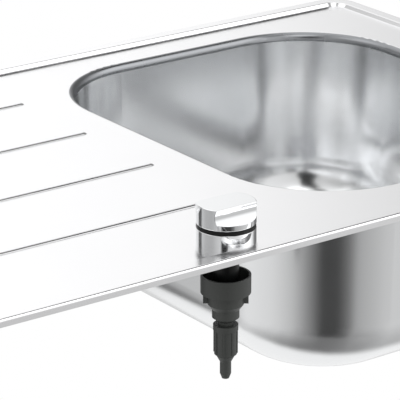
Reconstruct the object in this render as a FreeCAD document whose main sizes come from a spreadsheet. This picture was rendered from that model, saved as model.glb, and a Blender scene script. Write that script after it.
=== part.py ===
import FreeCAD, Part
import math
import os
import re

import Sketcher

# Inset kitchen sink with drainer, rotary pop-up control and basket waste.
# Millimetres. +X runs along the worktop to the bowl end, +Y to the back, +Z up.
# The origin lies in the middle of the outer edge, on the worktop that the rim seal rests on.

SIZES = [
    # pressed sheet: rim, deck and drainer
    ("sink_length", 860, "outer edge to outer edge along the worktop"),
    ("sink_width", 500, "outer edge to outer edge, front to back"),
    ("outer_corner", 24, "plan radius of the outer corners"),
    ("sheet_wall", 0.9, "thickness of the stainless sheet"),
    ("rim_height", 6.5, "top of the rim above the worktop"),
    ("rim_band", 12.8, "flat band from the outer edge to the step"),
    ("rim_edge_round", 2.2, "round of the outer rim edge"),
    ("skirt_gap", 0.4, "lower edge of the skirt above the worktop"),
    ("deck_drop", 3.5, "deck below the rim"),
    ("step_slope", 40, "degrees of the step from the vertical"),
    ("step_corner", 15, "plan radius of the step at its top"),
    ("step_top_round", 1.5, "round at the top of the step"),
    ("step_foot_round", 1.5, "hollow at the foot of the step"),
    ("rib_height", 1.5, "drainer rib above the deck"),
    ("rib_crown", 4.3, "radius of the rib's crown"),
    ("rib_foot_round", 1.2, "hollow where a rib meets the deck"),
    ("rib_left_margin", 49.5, "centre of the left rib ends from the outer edge"),
    ("rib_bowl_gap", 42.5, "centre of the right rib ends from the bowl wall"),
    ("rib_front_margin", 113.5, "front rib from the outer edge"),
    ("rib_back_margin", 97.6, "back rib from the outer edge"),
    ("rib_count", 4, "number of ribs"),
    # bowl
    ("bowl_length", 321, "wall to wall along X at the deck"),
    ("bowl_front_margin", 65, "bowl wall to the outer edge at the front"),
    ("bowl_back_margin", 54, "bowl wall to the outer edge at the back"),
    ("bowl_depth", 168, "deck to bowl floor"),
    ("bowl_corner", 92, "plan radius of the bowl corners at the deck"),
    ("bowl_draft", 1.5, "degrees that the bowl walls lean in"),
    ("bowl_right_margin", 63, "bowl wall to the outer edge on the right"),
    ("roll_round", 6, "rolled edge between deck and bowl"),
    ("roll_lip", 1, "straight lip below the roll, down to the weld"),
    ("cove_round", 50, "hollow between bowl wall and floor"),
    ("seat_radius", 59, "recess in the floor for the waste flange"),
    ("seat_drop", 2.6, "depth of that recess"),
    ("waste_hole", 45, "radius of the waste hole"),
    ("zone_margin", 14, "room round the bowl when deck and bowl are parted"),
    # holes and pieces under the deck
    ("control_bowl_gap", 90, "control axis and tap hole from the bowl wall"),
    ("control_margin", 43, "control axis from the outer edge at the front"),
    ("tap_margin", 43, "tap hole from the outer edge at the back"),
    ("tap_hole", 17.5, "radius of the tap hole"),
    ("seal_inset", 2.5, "rim seal from the outer edge"),
    ("seal_width", 6, "width of the rim seal"),
    ("rail_length", 60, "clip rail"),
    ("rail_width", 12, "clip rail"),
    ("rail_height", 8, "clip rail"),
    ("rail_wall", 1, "clip rail"),
    ("rail_inset", 26, "middle of a rail from the outer edge"),
    ("rail_lip", 3, "lips of the rail beside its slot"),
    ("rail_end_margin", 90, "middle of an outer rail from the end of the sink"),
    ("pad_margin", 15, "sound pad from the edge of the flat bowl floor"),
    ("pad_corner", 45, "sound pad corners"),
    ("pad_wall", 1.6, "sound pad"),
    ("pad_hole", 66, "radius of the hole in the sound pad"),
    # rotary control
    ("running_fit", 0.05, "radial clearance of turning and sliding fits"),
    ("moving_gap", 0.3, "gap between faces that move past each other"),
    ("knob_radius", 22.6, "base, ring and cap"),
    ("base_height", 9.6, "chromed base"),
    ("base_edge_round", 0.6, "round of the base edges"),
    ("groove_inner", 17, "base seal"),
    ("groove_outer", 20.5, "base seal"),
    ("groove_deep", 1.2, "base seal"),
    ("ring_height", 3, "black slip ring"),
    ("ring_inset", 0.25, "slip ring inside the chromed faces"),
    ("cap_height", 16, "turning cap"),
    ("cap_edge_round", 0.7, "round of the cap edges"),
    ("grip_edge_round", 0.4, "round of the edges about the hollows"),
    ("grip_half", 13.3, "half width of the grip bar"),
    ("ledge_height", 4.6, "round foot of the cap below the grip"),
    ("scoop_bite", 1.3, "how far the hollow cuts in below the top edge"),
    ("shank_outer", 10, "threaded shank"),
    ("shank_bore", 7.5, "threaded shank"),
    ("shank_length", 42.6, "shank below the deck"),
    ("shank_head", 18.5, "head of the shank in the base"),
    ("head_seat", 6, "underside of that head above the deck"),
    ("head_top_gap", 0.4, "top of the head below the top of the ring"),
    ("web_thick", 6, "bearing web of the shank"),
    ("control_hole_room", 1, "control hole, radially round the shank"),
    ("spindle_radius", 6, "drive spindle in its bearing"),
    ("spindle_collar", 8, "collar under the cap"),
    ("spindle_tenon", 4.5, "tenon in the cap"),
    ("tenon_length", 6, "tenon in the cap"),
    ("screw_radius", 4.5, "coarse drive screw"),
    ("screw_top", 14, "drive screw below the deck"),
    ("screw_end", 54.3, "end of the drive screw below the deck"),
    ("screw_slack", 0.3, "drive screw in the slider, radially"),
    ("circlip_outer", 7.2, "circlip on the spindle"),
    ("circlip_wall", 0.8, "circlip on the spindle"),
    ("circlip_gap", 0.2, "circlip below the web"),
    ("washer_outer", 18, "washer under the deck"),
    ("washer_wall", 1, "washer under the deck"),
    ("nut_outer", 16.5, "fixing nut across its corners, as a radius"),
    ("nut_height", 8, "fixing nut"),
    # actuator below the deck
    ("cup_rim", 28.5, "rim of the coupling cup below the deck"),
    ("cup_radius", 19, "coupling cup"),
    ("cup_wall", 1.5, "coupling cup"),
    ("cup_floor", 2, "coupling cup"),
    ("body_radius", 13.6, "actuator body"),
    ("body_straight", 52, "end of the wide part, below the deck"),
    ("body_waist", 10.3, "narrow part of the actuator body"),
    ("body_waist_top", 56.4, "narrow part, below the deck"),
    ("body_waist_end", 62.7, "narrow part, below the deck"),
    ("body_cone_end", 66.2, "end of the cone, below the deck"),
    ("neck_radius", 5.7, "neck into the cable sleeve"),
    ("neck_end", 83, "neck, below the deck"),
    ("neck_bore", 2.4, "bore round the slider's stem"),
    ("tab_reach", 17, "snap tab from the axis"),
    ("tab_width", 4, "snap tab"),
    ("tab_end", 51.5, "snap tab, below the deck"),
    ("tab_bearing", 36, "degrees of the tabs, clockwise from +X"),
    ("slider_radius", 8, "pull slider"),
    ("slider_room", 0.4, "actuator bore round the slider"),
    ("slider_top", 48.5, "pull slider at rest, below the deck"),
    ("slider_end", 60, "pull slider at rest, below the deck"),
    ("slider_floor", 2, "bottom plate of the slider"),
    ("slider_floor_gap", 1.5, "actuator floor below the slider"),
    ("stem_radius", 2, "stem that pulls the wire"),
    ("stem_end", 84, "end of the stem, below the deck"),
    ("sleeve_top", 68.6, "cable sleeve, below the deck"),
    ("sleeve_collar", 9.5, "collar of the sleeve"),
    ("sleeve_collar_end", 73, "collar, below the deck"),
    ("sleeve_radius", 8.6, "body of the sleeve"),
    ("sleeve_end", 92.5, "cable sleeve, below the deck"),
    ("sleeve_bore", 3, "lower bore of the sleeve"),
    ("sleeve_step", 84, "where the bore narrows, below the deck"),
    ("grip_rib_reach", 9.2, "grip ribs of the sleeve, from the axis"),
    ("grip_rib_width", 1.3, "grip ribs of the sleeve"),
    ("grip_rib_end", 91.5, "grip ribs, below the deck"),
    ("grip_rib_count", 8, "grip ribs of the sleeve"),
    ("tip_spigot_top", 86, "tip inside the sleeve, below the deck"),
    ("tip_shoulder", 7, "tip below the sleeve"),
    ("tip_shoulder_end", 94, "below the deck"),
    ("tip_cone_end", 99, "below the deck"),
    ("tip_radius", 4.3, "slender part of the tip"),
    ("tip_straight_end", 108.5, "below the deck"),
    ("tip_nose", 2.8, "rounded nose of the tip"),
    ("tip_end", 112.5, "below the deck"),
    ("wire_bore", 1.6, "outlet for the pull wire"),
    # basket waste
    ("flange_radius", 57, "waste flange"),
    ("cup_sheet", 0.8, "thickness of the strainer cup"),
    ("flange_seal_wall", 1, "seal under the waste flange"),
    ("seal_room", 1, "seals from the edge of the waste hole"),
    ("strainer_outer", 42.2, "strainer cup"),
    ("strainer_deep", 32, "floor of the strainer cup below the bowl floor"),
    ("strainer_round", 5, "outer round at the foot of the cup"),
    ("drain_hole", 4, "radius of the drain holes in the cup floor"),
    ("drain_ring", 14, "circle of the drain holes"),
    ("drain_count", 8, "drain holes"),
    ("fixing_ring", 24.2, "circle of the flange screws"),
    ("fixing_count", 3, "flange screws"),
    ("fixing_bearing", 60, "degrees of the first flange screw"),
    ("fixing_hole", 2.7, "hole for a flange screw"),
    ("screw_shank", 2, "flange screw"),
    ("screw_head", 4.5, "flange screw"),
    ("screw_head_height", 2.4, "flange screw"),
    ("screw_length", 12, "flange screw under its head"),
    ("pilot_clearance", 0.1, "pilot hole round a screw, radially"),
    ("boss_radius", 4.5, "screw bosses of the waste body"),
    ("body_seal_wall", 1, "seal between bowl and waste body"),
    ("body_flange", 59, "top flange of the waste body"),
    ("body_flange_wall", 4, "top flange of the waste body"),
    ("chamber_outer", 47, "chamber of the waste body"),
    ("plastic_wall", 2.5, "walls of the moulded waste parts"),
    ("chamber_floor", 49, "chamber floor below the bowl floor"),
    ("chamber_floor_wall", 3, "chamber floor"),
    ("tail_outer", 23.9, "outlet thread, outer radius"),
    ("tail_bore", 19.2, "outlet bore"),
    ("tail_length", 10, "outlet below the chamber"),
    ("port_outer", 11, "overflow port and pipe"),
    ("port_bore", 8.5, "overflow port and pipe"),
    ("port_drop", 23, "overflow port below the bowl floor"),
    ("port_reach", 64, "end of the overflow port from the waste axis"),
    # lift mechanism
    ("pin_radius", 4, "lift pin radius"),
    ("guide_outer", 6.4, "guide bush"),
    ("guide_collar", 8.5, "collar of the guide bush"),
    ("guide_collar_wall", 1.5, "collar of the guide bush"),
    ("guide_top", 22, "top of the guide below the bowl floor"),
    ("guide_hole_room", 0.1, "hole in the cup floor round the guide"),
    ("lift_travel", 8, "stroke of the lift pin"),
    ("lever_arm", 30, "lever axle from the waste axis"),
    ("lever_drop", 41, "lever axle below the bowl floor"),
    ("lever_ball", 3.5, "ball at the end of the lever"),
    ("lever_hub", 5.5, "hub of the lever"),
    ("lever_half", 5.5, "half length of that hub"),
    ("lever_bar", 5, "lever bar, height and width"),
    ("axle_radius", 2.5, "lever axle"),
    ("axle_inner_end", 10, "axle in front of the waste axis"),
    ("axle_outer_end", 48, "axle behind the waste axis"),
    ("lug_gap", 0.5, "lug beside the lever hub"),
    ("lug_wall", 4, "lugs of the waste body"),
    ("lug_half", 4.5, "half width of a lug"),
    ("lug_top", 36.5, "top of the lugs below the bowl floor"),
    ("gland_radius", 6, "gland of the axle"),
    ("gland_inner", 33.5, "gland from the waste axis"),
    ("gland_outer", 41, "gland from the waste axis"),
    ("gland_ring_wire", 0.9, "gland ring, radius of its section"),
    ("gland_ring_deep", 2, "recess of the gland ring"),
    ("arm_inner", 42, "cable arm from the waste axis"),
    ("arm_wall", 5, "cable arm"),
    ("arm_reach", 20, "axle to the wire eye of the cable arm"),
    ("arm_hub", 6, "hub of the cable arm"),
    ("arm_width", 7, "width of the cable arm"),
    ("eye_radius", 1.6, "wire eye"),
    ("bracket_left", 14, "cable bracket, left of the waste axis"),
    ("bracket_wall", 3, "cable bracket"),
    ("bracket_inner", 38, "cable bracket behind the waste axis"),
    ("bracket_outer", 52, "cable bracket behind the waste axis"),
    ("bracket_top", 50, "cable bracket below the bowl floor"),
    ("bracket_foot", 66, "cable bracket below the bowl floor"),
    ("cable_hole", 2.5, "cable seat in the bracket"),
    # strainer basket
    ("basket_sheet", 0.7, "basket wall"),
    ("basket_rim_radius", 40.6, "rim of the basket"),
    ("basket_rim_top", 6, "rim of the basket below the bowl floor"),
    ("basket_top_radius", 38.9, "basket wall at the rim"),
    ("basket_foot_radius", 34, "basket wall at the foot"),
    ("basket_foot", 28.5, "foot of the basket below the bowl floor"),
    ("basket_hole", 2.1, "perforations of the basket"),
    ("inner_ring", 15.5, "inner circle of perforations"),
    ("inner_count", 12, "inner circle of perforations"),
    ("outer_ring", 24, "outer circle of perforations"),
    ("outer_count", 18, "outer circle of perforations"),
    ("side_count", 24, "perforations in the wall"),
    ("side_drop", 17, "wall perforations below the bowl floor"),
    ("basket_seal_inner", 30.5, "closing seal"),
    ("basket_seal_outer", 35, "closing seal"),
    ("post_outer", 9.5, "post of the basket"),
    ("post_room", 0.75, "post round the guide bush"),
    ("post_top", 14, "top of the post below the bowl floor"),
    ("post_roof", 2, "roof of the post, which rests on the pin"),
    ("grip_stem", 3, "stem of the basket grip"),
    ("grip_radius", 8, "basket grip"),
    ("grip_under", 8.5, "underside of the grip below the bowl floor"),
    ("grip_top", 3.5, "top of the grip below the bowl floor"),
    # overflow
    ("overflow_drop", 45, "overflow axis below the deck"),
    ("overflow_hole", 18, "hole in the bowl wall"),
    ("plate_radius", 24, "overflow plate"),
    ("plate_wall", 0.8, "overflow plate"),
    ("plate_hole", 3.4, "holes of the overflow plate"),
    ("plate_ring", 11.5, "circle of those holes"),
    ("plate_count", 8, "holes of the overflow plate"),
    ("gasket_outer", 25, "overflow gasket"),
    ("gasket_wall", 1.5, "overflow gasket"),
    ("head_outer", 25, "overflow head"),
    ("head_deep", 27, "overflow head"),
    ("spout_reach", 42, "end of the spout from the overflow axis"),
    ("overflow_screw_length", 14, "overflow screw behind the plate"),
    ("elbow_round", 30, "bend of the overflow pipe"),
    ("collar_outer", 13.8, "pipe collars"),
    ("collar_length", 16, "pipe collars"),
    ("overrun", 2, "how far a cutting shape runs past what it cuts"),
]

ALIASES = {row[0] for row in SIZES}

# Two levels or radii that differ by less than this are the same one.
SAME = 1e-5

# Places that follow from the sizes, written as formulas of the sheet.
DECK_TOP = "(rim_height - deck_drop)"
FLOOR_TOP = "(rim_height - deck_drop - bowl_depth)"
SEAM = "(rim_height - deck_drop - roll_round - roll_lip)"
BOWL_WIDTH = "(sink_width - bowl_front_margin - bowl_back_margin)"
BOWL_LEFT = "(sink_length / 2 - bowl_right_margin - bowl_length)"
BOWL_X = "(sink_length / 2 - bowl_right_margin - bowl_length / 2)"
BOWL_Y = "((bowl_front_margin - bowl_back_margin) / 2)"
COVE_FOOT = "(bowl_depth * tan(bowl_draft) + cove_round)"
RIB_LEFT = "(rib_left_margin - sink_length / 2)"
RIB_RIGHT = "(" + BOWL_LEFT + " - rib_bowl_gap)"
RIB_RUN = "(" + RIB_RIGHT + " - " + RIB_LEFT + ")"
RIB_PITCH = "((sink_width - rib_front_margin - rib_back_margin) / (rib_count - 1))"
CONTROL_X = "(" + BOWL_LEFT + " - control_bowl_gap)"
CONTROL_Y = "(control_margin - sink_width / 2)"
TAP_Y = "(sink_width / 2 - tap_margin)"
RAIL_X = "(sink_length / 2 - rail_end_margin)"
CAP_FOOT = "(base_height + ring_height + moving_gap)"
HEAD_TOP = "(base_height + ring_height - head_top_gap)"
GUIDE_BORE = "(pin_radius + running_fit)"
STRAINER_BORE = "(strainer_outer - cup_sheet)"
FLANGE_FOOT = "(flange_seal_wall - seat_drop)"
CUP_FLOOR_UNDER = "(strainer_deep + cup_sheet)"
BODY_TOP = "(seat_drop + sheet_wall + body_seal_wall)"
LEVER_TILT = "asin(lift_travel / 2 / lever_arm)"
PIN_TOP = "(post_top + post_roof + moving_gap)"
PIN_FOOT = "(lever_drop + lift_travel / 2 - lever_ball - moving_gap)"
WALL_X = "(" + BOWL_X + " + bowl_length / 2 - overflow_drop * tan(bowl_draft))"
WALL_Z = "(" + DECK_TOP + " - overflow_drop)"
HEAD_MIDDLE = "(sheet_wall + gasket_wall + head_deep / 2)"
PIPE_Z = "(" + FLOOR_TOP + " - port_drop)"
ELBOW_X = (
    "((" + WALL_X + " * cos(bowl_draft) - " + WALL_Z + " * sin(bowl_draft) + " + HEAD_MIDDLE
    + " - elbow_round + (" + PIPE_Z + " + elbow_round) * sin(bowl_draft)) / cos(bowl_draft))"
)

doc = FreeCAD.newDocument("KitchenSink")
sheet = doc.addObject("Spreadsheet::Sheet", "Sizes")
made = []


def fill_sheet():
    """Write every driving dimension into the sheet, with its alias and what it measures."""
    for row, (alias, number, meaning) in enumerate(SIZES, start=1):
        sheet.set("A%d" % row, alias)
        sheet.set("B%d" % row, str(number))
        sheet.setAlias("B%d" % row, alias)
        sheet.set("C%d" % row, meaning)
    doc.recompute()


def formula(text):
    """Turn size names into references to the sheet."""
    return re.sub(r"[a-z_]+", lambda m: "Sizes." + m.group(0) if m.group(0) in ALIASES else m.group(0), text)


def value(text):
    """The number that a formula of sizes gives."""
    number = sheet.evalExpression(formula(text))
    return float(getattr(number, "Value", number))


def bind(thing, **formulas):
    """Bind properties to formulas; a double underscore stands for a dot."""
    for name, text in formulas.items():
        thing.setExpression(name.replace("__", "."), formula(text))


def vector(x="0", y="0", z="0"):
    """A vector from three formulas."""
    return FreeCAD.Vector(value(x), value(y), value(z))


def place(thing, x="0", y="0", z="0", axis=None, angle="0"):
    """Put an object at a place worked out from the sizes, turned about an axis."""
    turn = FreeCAD.Rotation(FreeCAD.Vector(*(axis or (0, 0, 1))), value(angle))
    thing.Placement = FreeCAD.Placement(vector(x, y, z), turn)
    for letter, text in (("x", x), ("y", y), ("z", z)):
        if text != "0":
            thing.setExpression("Placement.Base." + letter, formula(text))
    if axis and not re.fullmatch(r"-?[0-9]+", angle):
        thing.setExpression("Placement.Rotation.Angle", formula(angle))
    return thing


def keep(thing, label):
    """Name a finished sub-part, which is written to a file of that name."""
    thing.Label = label
    made.append(thing)
    return thing


def new_body(name):
    """An empty body to build one piece in."""
    return doc.addObject("PartDesign::Body", name)


def sketch_on(body, role, name, x="0", y="0", z="0"):
    """A sketch on one of the body's own origin planes, moved by formulas in that plane's axes."""
    sketch = body.newObject("Sketcher::SketchObject", name)
    plane = next(item for item in body.Origin.OriginFeatures if item.Role == role)
    sketch.AttachmentSupport = [(plane, "")]
    sketch.MapMode = "FlatFace"
    sketch.AttachmentOffset = FreeCAD.Placement(vector(x, y, z), FreeCAD.Rotation())
    for letter, text in (("x", x), ("y", y), ("z", z)):
        if text != "0":
            sketch.setExpression("AttachmentOffset.Base." + letter, formula(text))
    return sketch


def measure(sketch, constraint, name, text):
    """Add a dimension to a sketch and bind it to a formula."""
    index = sketch.addConstraint(constraint)
    sketch.renameConstraint(index, name)
    sketch.setExpression("Constraints." + name, formula(text))


def pin_point(sketch, geometry, end, x, y, name):
    """Hold one point of a sketch at two formulas."""
    for axis_line, kind, text in ((-2, "DistanceX", x), (-1, "DistanceY", y)):
        number = value(text)
        if text == "0":
            sketch.addConstraint(Sketcher.Constraint("PointOnObject", geometry, end, axis_line))
        else:
            constraint = Sketcher.Constraint(kind, -1, 1, geometry, end, number)
            measure(sketch, constraint, "%s_%s" % (kind[-1].lower(), name), text)


def add_rounded_rectangle(sketch, length, width, corner):
    """A rectangle with round corners about the sketch's origin; returns after binding its three sizes."""
    half_x, half_y, radius = value(length) / 2, value(width) / 2, value(corner)
    first = sketch.GeometryCount
    straight_x, straight_y = half_x - radius, half_y - radius
    sides = [
        ((-straight_x, -half_y), (straight_x, -half_y)),
        ((half_x, -straight_y), (half_x, straight_y)),
        ((straight_x, half_y), (-straight_x, half_y)),
        ((-half_x, straight_y), (-half_x, -straight_y)),
    ]
    centres = [
        (straight_x, -straight_y),
        (straight_x, straight_y),
        (-straight_x, straight_y),
        (-straight_x, -straight_y),
    ]
    for start, end in sides:
        sketch.addGeometry(Part.LineSegment(FreeCAD.Vector(*start, 0), FreeCAD.Vector(*end, 0)), False)
    for turn, centre in enumerate(centres):
        circle = Part.Circle(FreeCAD.Vector(*centre, 0), FreeCAD.Vector(0, 0, 1), radius)
        start = (turn - 1) * math.pi / 2
        sketch.addGeometry(Part.ArcOfCircle(circle, start, start + math.pi / 2), False)
    corners = first + len(sides)
    for side in range(len(sides)):
        following = first + (side + 1) % len(sides)
        sketch.addConstraint(Sketcher.Constraint("Tangent", first + side, 2, corners + side, 1))
        sketch.addConstraint(Sketcher.Constraint("Tangent", corners + side, 2, following, 1))
    for side, kind in enumerate(("Horizontal", "Vertical", "Horizontal", "Vertical")):
        sketch.addConstraint(Sketcher.Constraint(kind, first + side))
    for side in range(len(sides) - 1):
        sketch.addConstraint(Sketcher.Constraint("Equal", corners + side, corners + side + 1))
    sketch.addConstraint(Sketcher.Constraint("Symmetric", first, 1, first + 2, 1, -1, 1))
    tag = "_%d" % first
    along = Sketcher.Constraint("DistanceX", first + 3, 1, first + 1, 1, 2 * half_x)
    across = Sketcher.Constraint("DistanceY", first, 1, first + 2, 1, 2 * half_y)
    measure(sketch, along, "length" + tag, length)
    measure(sketch, across, "width" + tag, width)
    measure(sketch, Sketcher.Constraint("Radius", corners, radius), "corner" + tag, corner)


def add_circle(sketch, radius, x="0", y="0"):
    """A circle held at two formulas."""
    circle = Part.Circle(vector(x, y), FreeCAD.Vector(0, 0, 1), value(radius))
    index = sketch.addGeometry(circle, False)
    pin_point(sketch, index, 3, x, y, "circle_%d" % index)
    measure(sketch, Sketcher.Constraint("Radius", index, value(radius)), "radius_%d" % index, radius)


def add_outline(sketch, points):
    """A closed outline of straight lines through points given as pairs of formulas."""
    first = sketch.GeometryCount
    places = [vector(x, y) for x, y in points]
    for number, start in enumerate(places):
        sketch.addGeometry(Part.LineSegment(start, places[(number + 1) % len(places)]), False)
    for number, (x, y) in enumerate(points):
        following = first + (number + 1) % len(points)
        sketch.addConstraint(Sketcher.Constraint("Coincident", first + number, 2, following, 1))
        pin_point(sketch, first + number, 1, x, y, "point_%d" % (first + number))


def pad(body, sketch, length, down=False, both_ways=False):
    """Raise a sketch into a solid, up along its normal unless told otherwise."""
    feature = body.newObject("PartDesign::Pad", "Pad")
    feature.Profile = sketch
    feature.Reversed = down
    feature.Midplane = both_ways
    bind(feature, Length=length)
    doc.recompute()
    return feature


def pocket(body, sketch, depth, up=False, both_ways=False, taper=None):
    """Cut a sketch out of the solid, down against its normal unless told otherwise."""
    before = body.Shape.Volume
    feature = body.newObject("PartDesign::Pocket", "Pocket")
    feature.Profile = sketch
    feature.Reversed = up
    feature.Midplane = both_ways
    bind(feature, Length=depth)
    if taper:
        bind(feature, TaperAngle="-(" + taper + ")")
    doc.recompute()
    if not body.Shape.Volume < before:
        raise RuntimeError("%s: a pocket cuts nothing" % body.Label)
    return feature


def fillet(body, base, edges, radius):
    """Round the named edges of a feature."""
    feature = body.newObject("PartDesign::Fillet", "Fillet")
    feature.Base = (base, edges)
    bind(feature, Radius=radius)
    doc.recompute()
    return feature


def level_edges(shape, level, inside=None):
    """Names of the edges in one level plane.

    Four formulas keep it to the edges within two half lengths about a centre.
    """
    half_x, half_y, centre_x, centre_y = [value(text) for text in inside or ("0", "0", "0", "0")]
    names = []
    for number, edge in enumerate(shape.Edges, start=1):
        box = edge.BoundBox
        near = abs(box.ZMin - level) < SAME and abs(box.ZMax - level) < SAME
        if near and inside:
            near = max(box.XMax - centre_x, centre_x - box.XMin) < half_x
            near = near and max(box.YMax - centre_y, centre_y - box.YMin) < half_y
        if near:
            names.append("Edge%d" % number)
    return names


def circle_edges(shape, radius, level):
    """Names of the full circles of one radius about the Z axis at one level."""
    names = []
    for number, edge in enumerate(shape.Edges, start=1):
        round_edge = type(edge.Curve).__name__ == "Circle" and abs(edge.Curve.Radius - radius) < SAME
        if round_edge and abs(edge.Curve.Center.z - level) < SAME:
            names.append("Edge%d" % number)
    return names


def polar(body, originals, count):
    """Repeat features round the body's Z axis."""
    axis = next(item for item in body.Origin.OriginFeatures if item.Role == "Z_Axis")
    pattern = body.newObject("PartDesign::PolarPattern", "Polar")
    pattern.Originals = originals
    pattern.Axis = (axis, [""])
    pattern.Angle = 360
    bind(pattern, Occurrences=count)
    body.Tip = pattern
    doc.recompute()
    return pattern


def turned(label, points, x="0", y="0", z="0", axis=None, angle="0"):
    """A body turned from one outline of (radius, height) pairs, and put in its place."""
    body = new_body(label)
    sketch = sketch_on(body, "XZ_Plane", "Section")
    add_outline(sketch, points)
    feature = body.newObject("PartDesign::Revolution", "Revolution")
    feature.Profile = sketch
    feature.ReferenceAxis = (sketch, ["V_Axis"])
    feature.Angle = 360
    place(body, x, y, z, axis, angle)
    doc.recompute()
    return body


def cylinder(name, radius, height, x="0", y="0", z="0", axis=None, angle="0"):
    """A cylinder whose foot centre is at a place, along Z before it is turned."""
    thing = doc.addObject("Part::Cylinder", name)
    bind(thing, Radius=radius, Height=height)
    return place(thing, x, y, z, axis, angle)


def block(name, length, width, height, x="0", y="0", z="0", axis=None, angle="0"):
    """A box whose lowest corner is at a place."""
    thing = doc.addObject("Part::Box", name)
    bind(thing, Length=length, Width=width, Height=height)
    return place(thing, x, y, z, axis, angle)


def fuse(name, things):
    """Join overlapping or touching pieces into one."""
    thing = doc.addObject("Part::MultiFuse", name)
    thing.Shapes = things
    return thing


def cut(name, base, tool):
    """Take a tool away from a base, and make sure that it takes something."""
    thing = doc.addObject("Part::Cut", name)
    thing.Base = base
    thing.Tool = tool
    doc.recompute()
    if not thing.Shape.Volume < base.Shape.Volume:
        raise RuntimeError("%s: a cut takes nothing" % name)
    return thing


def common(name, base, tool):
    """Keep only what two shapes share."""
    thing = doc.addObject("Part::Common", name)
    thing.Base = base
    thing.Tool = tool
    doc.recompute()
    return thing


def forming_half(name, inset):
    """The sheet's upper face (inset 0) or lower face (inset one wall) as the top of a solid block.

    The block fills everything under that face, so one half taken from the other leaves the sheet.
    """
    body = new_body(name)
    low = "(" + FLOOR_TOP + " - seat_drop - 2 * sheet_wall - overrun - " + inset + ")"
    deck = "(" + DECK_TOP + " - " + inset + ")"
    floor = "(" + FLOOR_TOP + " - " + inset + ")"
    step_shift = "(" + inset + " * (1 / cos(step_slope) - tan(step_slope)))"
    bowl_shift = "(" + inset + " * (1 / cos(bowl_draft) - tan(bowl_draft)))"

    outline = sketch_on(body, "XY_Plane", "Outline", z=low)
    outer = "(outer_corner - " + inset + ")"
    add_rounded_rectangle(outline, "sink_length - 2 * " + inset, "sink_width - 2 * " + inset, outer)
    top = "(rim_height - " + inset + ")"
    raised = pad(body, outline, top + " - " + low)
    rounded = fillet(body, raised, level_edges(raised.Shape, value(top)), "rim_edge_round - " + inset)

    step = sketch_on(body, "XY_Plane", "Step", z=top)
    length = "sink_length - 2 * rim_band + 2 * " + step_shift
    width = "sink_width - 2 * rim_band + 2 * " + step_shift
    add_rounded_rectangle(step, length, width, "step_corner + " + step_shift)
    recess = pocket(body, step, "deck_drop", taper="step_slope")
    within_rim = ("(sink_length - rim_band) / 2", "(sink_width - rim_band) / 2", "0", "0")
    crest = level_edges(recess.Shape, value(top), within_rim)
    softened = fillet(body, recess, crest, "step_top_round - " + inset)
    foot = level_edges(softened.Shape, value(deck))
    softened = fillet(body, softened, foot, "step_foot_round + " + inset)

    add_ribs(body, inset)

    bowl = sketch_on(body, "XY_Plane", "Bowl", BOWL_X, BOWL_Y, deck)
    corner = "bowl_corner + " + bowl_shift
    grown = " + 2 * " + bowl_shift
    add_rounded_rectangle(bowl, "bowl_length" + grown, BOWL_WIDTH + grown, corner)
    hollow = pocket(body, bowl, "bowl_depth", taper="bowl_draft")
    coved = fillet(body, hollow, level_edges(hollow.Shape, value(floor)), "cove_round + " + inset)
    zone = ("bowl_length / 2 + zone_margin", BOWL_WIDTH + " / 2 + zone_margin", BOWL_X, BOWL_Y)
    mouth = level_edges(coved.Shape, value(deck), zone)
    fillet(body, coved, mouth, "roll_round - " + inset)

    seat = sketch_on(body, "XY_Plane", "Seat", BOWL_X, BOWL_Y, floor)
    add_circle(seat, "seat_radius + " + inset)
    pocket(body, seat, "seat_drop")
    return body


def add_ribs(body, inset):
    """Raised drainer ribs with round ends, softened where they meet the deck."""
    crown = "(rib_crown - " + inset + ")"
    axis_height = "(" + DECK_TOP + " + rib_height - rib_crown)"
    for number in range(int(value("rib_count"))):
        y = "(rib_front_margin - sink_width / 2 + %d * %s)" % (number, RIB_PITCH)
        add_round(body, "AdditiveCylinder", crown, RIB_LEFT, y, axis_height)
        add_round(body, "AdditiveSphere", crown, RIB_LEFT, y, axis_height)
        add_round(body, "AdditiveSphere", crown, RIB_RIGHT, y, axis_height)
    doc.recompute()
    middle = "(" + RIB_LEFT + " + " + RIB_RIGHT + ") / 2"
    drainer = (RIB_RUN + " / 2 + rib_crown", "sink_width / 2 - 2 * rim_band", middle, "0")
    feet = level_edges(body.Shape, value(DECK_TOP + " - " + inset), drainer)
    fillet(body, body.Tip, feet, "rib_foot_round + " + inset)


def add_round(body, kind, radius, x, y, z):
    """One cylinder or ball of a rib."""
    feature = body.newObject("PartDesign::" + kind, "Rib")
    turn = FreeCAD.Rotation(FreeCAD.Vector(0, 1, 0), 90)
    feature.AttachmentOffset = FreeCAD.Placement(vector(x, y, z), turn)
    for letter, text in (("x", x), ("y", y), ("z", z)):
        feature.setExpression("AttachmentOffset.Base." + letter, formula(text))
    feature.AttachmentSupport = [(next(i for i in body.Origin.OriginFeatures if i.Role == "XY_Plane"), "")]
    feature.MapMode = "FlatFace"
    bind(feature, Radius=radius)
    if kind == "AdditiveCylinder":
        bind(feature, Height=RIB_RUN)


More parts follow.
